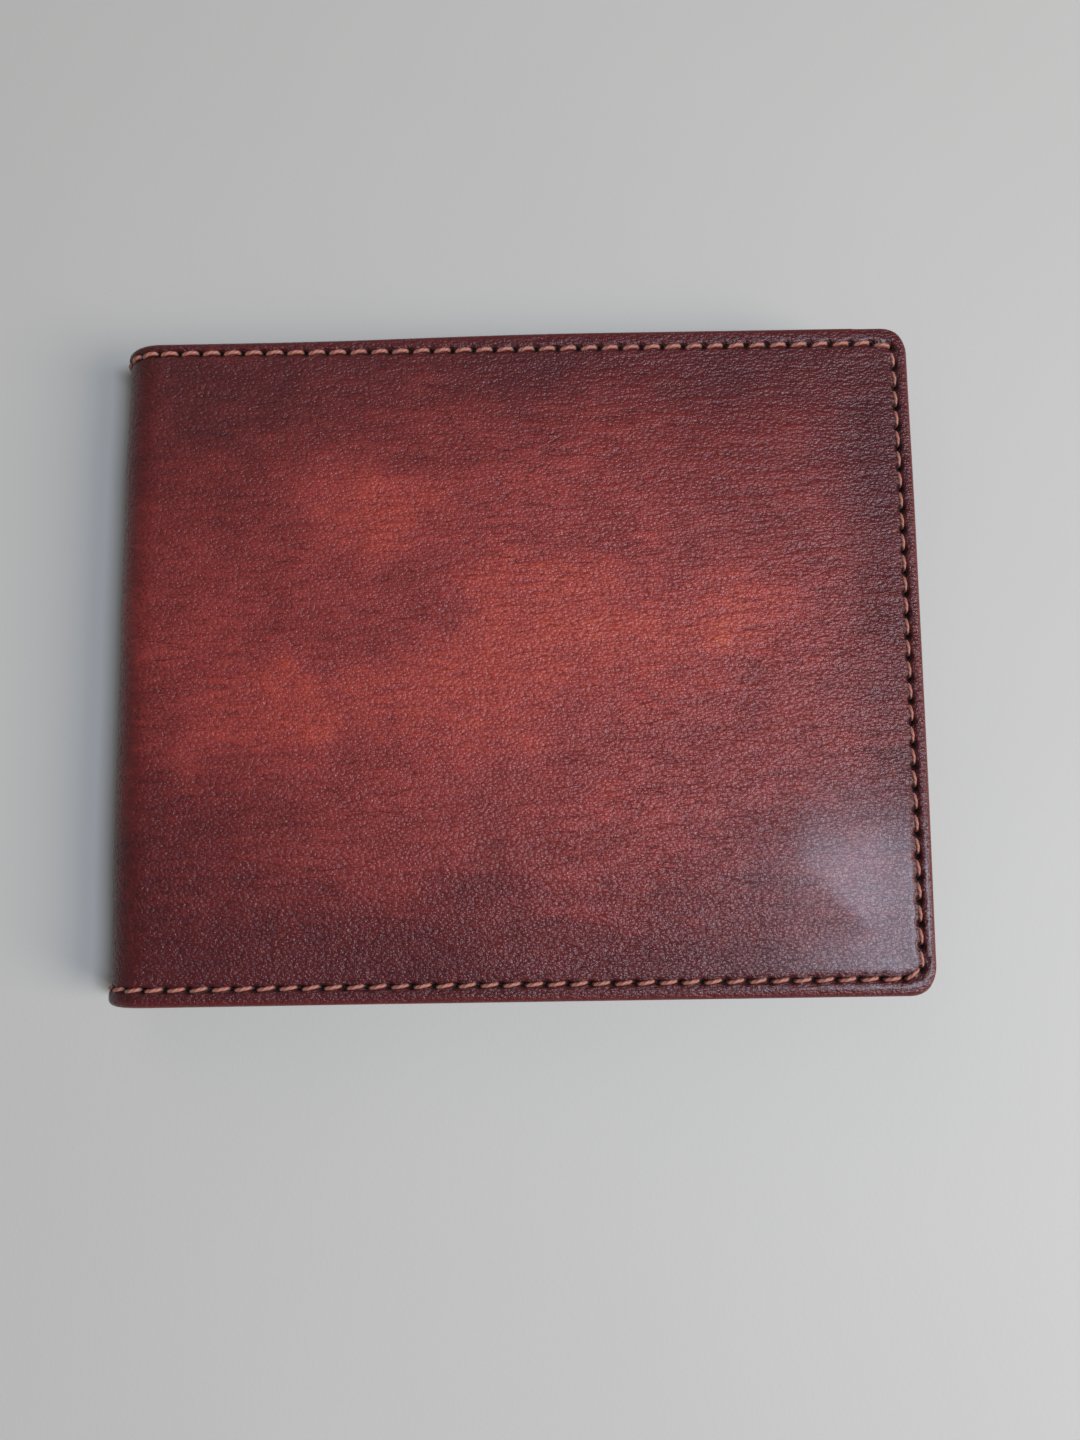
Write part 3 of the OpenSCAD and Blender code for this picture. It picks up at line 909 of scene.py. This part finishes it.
def inner_stitches(seam):
    """A seam's stitches on the inside, lying on the innermost layer."""
    return stitch_places(seam, lambda u, v: stack_depth(u, v) - 0.05, inwards=True)


# ---- settings


def size_property(name, description, default, least, most):
    return FloatProperty(
        name=name, description=f"{description}, in millimetres", default=default, min=least, max=most
    )


class WalletShape(bpy.types.PropertyGroup):
    """Sizes of the leather work, in millimetres."""

    corner_radius: size_property("Corner radius", "Radius of the cover's free corners", 4.0, 1.0, 8.0)
    seam_inset: size_property("Seam inset", "Distance from a leather edge to its seam", 2.4, 1.5, 3.5)
    stitch_pitch: size_property("Stitch pitch", "Length from one needle hole to the next", 3.05, 2.0, 5.0)
    thread_thickness: size_property("Thread thickness", "Thickness of the sewing thread", 0.55, 0.2, 0.9)
    seed: IntProperty(name="Seed", description="Seed of the stitches' small differences", default=7, min=0)


def colour_property(name, description, default):
    return FloatVectorProperty(
        name=name, description=description, default=default, size=3, min=0.0, max=1.0, subtype="COLOR"
    )


class WalletFinish(bpy.types.PropertyGroup):
    """Colours of the wallet's materials."""

    base: colour_property("Leather", "Red-brown of the cover leather", (0.215, 0.026, 0.022))
    warm: colour_property("Rubbed leather", "Warmer brown where the leather is rubbed", (0.315, 0.040, 0.027))
    glow: colour_property("Pull-up patches", "Orange-brown of the lightest patches", (0.440, 0.080, 0.032))
    shade: colour_property("Dark leather", "Dark patches of the cover leather", (0.125, 0.013, 0.012))
    # The border colour is also painted shade in the cover's grain valleys and fold creases
    border: colour_property("Burnished border", "Burgundy of the borders and creases", (0.054, 0.006, 0.008))
    rim: colour_property("Edge paint", "Red of the turned edge", (0.110, 0.010, 0.010))
    # Near-black painted shade in the needle holes, stitch channels, pocket grain valleys and thread ends; also
    # the dark edge paint of the card panels and slots
    hole: colour_property("Needle holes", "Colour inside the needle holes", (0.006, 0.003, 0.003))
    thread: colour_property("Thread", "Copper-brown of the waxed thread", (0.400, 0.150, 0.105))
    lining: colour_property("Lining", "Dark brown of the lining cloth", (0.022, 0.015, 0.013))
    board: colour_property("Stiffener", "Straw colour of the fibre board", (0.420, 0.330, 0.220))
    floor: colour_property("Floor", "Pale sheet that the wallet lies on", (0.470, 0.453, 0.414))


# ---- operators


class WALLET_OT_cover(bpy.types.Operator):
    """Make the cover leather, with its turned edges, seam channel and needle holes"""

    bl_idname = "wallet.cover"
    bl_label = "Cover leather"

    HEM_SIDE = 8.0
    EDGE_REACH = 1.1
    FACE_RINGS = (5.6, 4.9, 4.3, 3.8, 3.4, 3.1, 2.85, 2.65, 2.5, 2.35, 2.2, 2.0, 1.8, 1.6, 1.35)

    def execute(self, context):
        shape = context.scene.wallet_shape
        hem_top = TOP_Y - SHEET_HIGH[1] - 0.3
        void_d = LINING_D + WALL_T
        rect = (-REACH, REACH, -TOP_Y, TOP_Y)
        radii = (shape.corner_radius, shape.corner_radius)

        def hem_depth(u, v):
            beside = smooth(REACH - self.HEM_SIDE - 0.5, REACH - self.HEM_SIDE + 0.5, abs(u))
            at_top = smooth(0, 1, v / 5) * (1 - beside)
            return WALL_D + (void_d - WALL_D) * at_top

        pattern = Pattern(rect, radii, CUTS, 0.24)
        rings = [pattern.ring(i, 0.0, 1.0) for i in (*self.FACE_RINGS, self.EDGE_REACH)]
        steps = 14
        for i in range(1, steps + 1):
            a = -math.pi / 2 + math.pi * i / steps
            inset = self.EDGE_REACH * (1 - max(math.cos(a), 0) ** 0.85)
            rise = math.copysign(abs(math.sin(a)) ** 0.85, a)
            pattern.ring(
                inset, lambda u, v, rise=rise: hem_depth(u, v) / 2 * (1 + rise), max(0.0, -rise)
            )
        side = self.HEM_SIDE
        for back in (1.6, 2.6, 4.5, side - 0.15):
            share = back / side
            pattern.ring((back, back, back, 1.1 + (hem_top - 1.1) * share if back > 1.2 else back), hem_depth)
        pattern.ring((side, side, side, hem_top), lambda u, v: hem_depth(u, v) - 0.15)
        last = pattern.ring((side, side, side, hem_top), COVER_T)
        pattern.fill(rings[0], 1.1, 0.0, 1.0)
        pattern.fill(last, 4.0, COVER_T, flip=True)

        u, v, w, outer = pattern.arrays()
        seam = edge_seam(shape.stitch_pitch, shape.seam_inset)
        edge = inset_of(rect, shape.corner_radius, u, v)
        channel, hole = seam.masks(u, v)
        rise = 0.34 * smooth(20.0, 3.2, edge) * smooth(1.9, 2.6, edge) + 0.10 * smooth(2.6, 1.9, edge)
        uneven = 0.12 * ripple(u, v, 17.0, 2.0) + 0.05 * ripple(u, v, 6.0, 5.0)
        uneven *= smooth(2.4, 9.0, edge)
        relief = rise + uneven + 0.26 * channel + 0.75 * hole
        pattern.points = list(zip(u, v, w + outer * relief))
        edge_mm = np.maximum(edge, 0) * np.sign(outer)
        attributes = {"edge_mm": edge_mm, "hole": hole * outer, "channel": channel * outer}
        nodes = nodes_across("cover", "spine_leather")
        cut_at_spine("cover_leather", pattern, "cover_leather", nodes, attributes)
        return {"FINISHED"}


class WALLET_OT_linings(bpy.types.Operator):
    """Make the cover lining and the note wall, which cross the spine, and the two stiffeners"""

    bl_idname = "wallet.linings"
    bl_label = "Linings and stiffeners"

    def execute(self, context):
        radius = corner_radius() - (FREE_X - PANEL_HIGH[0])
        self.across("cover_lining", "lining", SHEET_LOW, SHEET_HIGH, 0.8, LINING_D, LINING_D + WALL_T)
        self.across("note_wall", "note_wall", PANEL_LOW, PANEL_HIGH, radius, WALL_D, PANEL_D)
        for name, side in SIDES.items():
            lo, hi = low(f"{name}_stiffener"), high(f"{name}_stiffener")
            ends = sorted((spread(lo[0], side), spread(hi[0], side)))
            pattern = thin_sheet((*ends, lo[1], hi[1]), 1.5, COVER_T, LINING_D, 4.0)
            flat_piece(f"{name}_board", pattern, name, "board", f"{name}_stiffener", {})
        return {"FINISHED"}

    def across(self, name, part, lowest, highest, radius, d1, d2):
        """A sheet of lining between two depths that goes on round the spine."""
        end = spread(highest[0], 1)
        pattern = thin_sheet((-end, end, lowest[1], highest[1]), radius, d1, d2, 2.0, CUTS)
        cut_at_spine(name, pattern, "lining", nodes_across(part, f"spine_{part}"), {})


class WALLET_OT_pockets(bpy.types.Operator):
    """Make the card panel and the three card slots of each half, with their linings"""

    bl_idname = "wallet.pockets"
    bl_label = "Card panels and slots"

    ROUND_OFF = 0.22
    CREASE_INSET = 1.6

    def execute(self, context):
        for name, side in SIDES.items():
            self.leather(context, name, side, "card_panel", PANEL_HIGH[1], PANEL_D, SLOTS_D)
            for k in SLOTS:
                lining, slot = f"{name}_slot_lining_{k}", f"back_card_slot_{k}"
                d1, d2 = low(slot)[2], high(slot)[2]
                self.leather(context, name, side, f"card_slot_{k}", MOUTHS[k - 1], d1, d2)
                start = low(f"back_slot_lining_{k}")[2]
                rect = self.rect(side, high(f"back_slot_lining_{k}")[1])
                pattern = thin_sheet(rect, 0.8, start, d1, 4.0, round_off=0.05)
                flat_piece(f"{name}_slot_cloth_{k}", pattern, name, "lining", lining, {})
        return {"FINISHED"}

    def rect(self, side, top):
        ends = sorted((spread(PANEL_LOW[0], side), spread(PANEL_HIGH[0], side)))
        return (*ends, PANEL_LOW[1], top)

    def leather(self, context, body, side, part, top, d1, d2):
        """A leather sheet with a rolled edge, and a tooled line, channels and holes inside."""
        shape = context.scene.wallet_shape
        rect = self.rect(side, top)
        free = shape.corner_radius - (FREE_X - PANEL_HIGH[0])
        top_free = free if part == "card_panel" else 0.6
        radii = (0.6, top_free) if side > 0 else (top_free, 0.6)
        pattern = Pattern(rect, radii, (), 0.42)
        r = self.ROUND_OFF
        start = pattern.ring(r * 3, d1)
        for inset, depth in ((r, d1), (r * 0.3, d1 + r * 0.3), (0, d1 + r), (0, d2 - r)):
            pattern.ring(inset, depth)
        pattern.ring(r * 0.3, d2 - r * 0.3, 1.0)
        for inset in (r, 0.6, 0.9, 1.15, 1.35, 1.5, 1.65, 1.8, 1.95, 2.1, 2.25, 2.4, 2.55, 2.75, 3.0, 3.5):
            end = pattern.ring(inset, d2, 1.0)
        pattern.fill(start, 6.0, d1)
        pattern.fill(end, 3.0, d2, 1.0, flip=True)
        u, v, w, inner = pattern.arrays()
        edge = np.minimum(np.minimum(u - rect[0], rect[1] - u), np.minimum(v - rect[2], rect[3] - v))
        channel, hole = np.zeros_like(u), np.zeros_like(u)
        pitch, inset = shape.stitch_pitch, shape.seam_inset
        for seam in [edge_seam(pitch, inset), *panel_seams(pitch, inset, side)]:
            more_channel, more_hole = seam.masks(u, v)
            channel, hole = np.maximum(channel, more_channel), np.maximum(hole, more_hole)
        tooled = np.exp(-(((rect[3] - v - self.CREASE_INSET) / 0.22) ** 2))
        bare = 1 - smooth(0, 0.5, v - PANEL_HIGH[1] + 4) if part == "card_panel" else 1.0
        relief = 0.22 * channel + 0.4 * hole + 0.12 * tooled * bare + 0.05 * ripple(u, v, 9.0, 3.0 + side)
        pattern.points = list(zip(u, v, w - inner * relief))
        attributes = {"edge_mm": edge * inner, "hole": hole * inner, "channel": channel * inner}
        flat_piece(f"{body}_{part}_leather", pattern, body, "inner_leather", f"{body}_{part}", attributes)


class WALLET_OT_seams(bpy.types.Operator):
    """Sew the edge seam round the cover and the seams of the card panels"""

    bl_idname = "wallet.seams"
    bl_label = "Seams"

    EDGE_LENGTH, EDGE_LEAN = 0.70, 0.17  # in pitches and radians
    PANEL_LENGTH, PANEL_LEAN = 0.8, 0.1

    def execute(self, context):
        shape = context.scene.wallet_shape
        pitch, inset = shape.stitch_pitch, shape.seam_inset
        seam = edge_seam(pitch, inset)
        outside = stitch_places(seam, lambda u, v: 0.60 if abs(u) > REACH - 3 else 0.36)
        inside = [p for p in inner_stitches(seam) if p[0][1] / MM < PANEL_HIGH[1]]
        nodes = nodes_across("edge_thread", "spine_thread")
        for k in range(len(FOLDS)):
            mine = [p for p in outside + inside if sum(p[3] > cut for cut in CUTS) == k]
            piece = sew(f"edge_stitches_{k + 1}", mine, seam.pitch * self.EDGE_LENGTH, self.EDGE_LEAN)
            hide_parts(*nodes[k])
            bend(piece, k)
        for name, side in SIDES.items():
            places = [p for run in panel_seams(pitch, inset, side) for p in inner_stitches(run)]
            length = pitch * self.PANEL_LENGTH
            piece = sew(f"{name}_panel_stitches", places, length, self.PANEL_LEAN)
            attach(piece, name)
            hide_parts(f"{name}_panel_thread")
        return {"FINISHED"}


class WALLET_OT_stage(bpy.types.Operator):
    """Lay the pale floor, and set the lights and the camera"""

    bl_idname = "wallet.stage"
    bl_label = "Stage"

    CAMERA_PLACE = (4.14, -27.98, 160.87)
    CAMERA_TURN = (7.168, 0.506, -0.896)
    FLOOR_HALF = 1500.0

    def execute(self, context):
        scene = context.scene
        self.floor(scene)
        self.camera(scene)
        self.area_light("window", (760, -270, 600), (460, 520), 8.3, (1.0, 0.945, 0.865))
        self.area_light("skylight", (392, -128, 860), (105, 250), 7.2, (0.68, 0.79, 1.0))
        self.area_light("wall", (-360, 760, 760), (700, 700), 0.7, (1.0, 0.95, 0.88))
        scene.view_settings.view_transform = "Standard"
        self.studio(scene)
        return {"FINISHED"}

    def studio(self, scene):
        """Soft light from all round, with a paler wall where it is seen past the floor."""
        world = bpy.data.worlds.new("studio")
        world.use_nodes = True
        world.node_tree.nodes.clear()
        node = NodeWriter(world.node_tree).node
        around = node("ShaderNodeBackground", {"Color": (1.0, 0.955, 0.90), "Strength": 0.15})
        seen = node("ShaderNodeBackground", {"Color": (0.52, 0.52, 0.50)})
        path = node("ShaderNodeLightPath").outputs["Is Camera Ray"]
        mix = node("ShaderNodeMixShader", {0: path, 1: around.outputs[0], 2: seen.outputs[0]})
        node("ShaderNodeOutputWorld", {"Surface": mix.outputs[0]})
        scene.world = world

    def floor(self, scene):
        h = self.FLOOR_HALF * MM
        mesh = bpy.data.meshes.new("floor")
        mesh.from_pydata([(-h, -h, 0), (h, -h, 0), (h, h, 0), (-h, h, 0)], [], [(0, 1, 2, 3)])
        mesh.materials.append(floor_material(scene.wallet_finish.floor))
        floor = add_object("floor", mesh)

    def camera(self, scene):
        data = bpy.data.cameras.new("camera")
        data.lens, data.sensor_width, data.clip_start = 27.05, 36.0, 0.005
        camera = add_object("camera", data)
        camera.location = [c * MM for c in self.CAMERA_PLACE]
        camera.rotation_euler = [math.radians(a) for a in self.CAMERA_TURN]
        scene.camera = camera

    def area_light(self, name, place, size, power, colour):
        data = bpy.data.lights.new(name, "AREA")
        data.shape, data.size, data.size_y = "RECTANGLE", size[0] * MM, size[1] * MM
        data.energy, data.color = power, colour
        light = add_object(name, data)
        light.location = [c * MM for c in place]
        light.rotation_euler = (-Vector(place)).to_track_quat("-Z", "Y").to_euler()


class WALLET_PT_panel(bpy.types.Panel):
    """Lists the wallet's steps and sizes in the sidebar"""

    bl_label = "Bifold wallet"
    bl_space_type = "VIEW_3D"
    bl_region_type = "UI"
    bl_category = "Wallet"

    def draw(self, context):
        for operator in OPERATORS:
            self.layout.operator(operator.bl_idname)
        for group in (context.scene.wallet_shape, context.scene.wallet_finish):
            for key in group.__annotations__:
                self.layout.prop(group, key)


OPERATORS = (WALLET_OT_cover, WALLET_OT_linings, WALLET_OT_pockets, WALLET_OT_seams, WALLET_OT_stage)
CLASSES = (WalletShape, WalletFinish, *OPERATORS, WALLET_PT_panel)


def register():
    for each in CLASSES:
        bpy.utils.register_class(each)
    bpy.types.Scene.wallet_shape = PointerProperty(type=WalletShape)
    bpy.types.Scene.wallet_finish = PointerProperty(type=WalletFinish)


def unregister():
    del bpy.types.Scene.wallet_finish
    del bpy.types.Scene.wallet_shape
    for each in reversed(CLASSES):
        bpy.utils.unregister_class(each)


def main():
    register()
    bpy.ops.wallet.cover()
    bpy.ops.wallet.linings()
    bpy.ops.wallet.pockets()
    bpy.ops.wallet.seams()
    bpy.ops.wallet.stage()


if __name__ == "__main__":
    main()
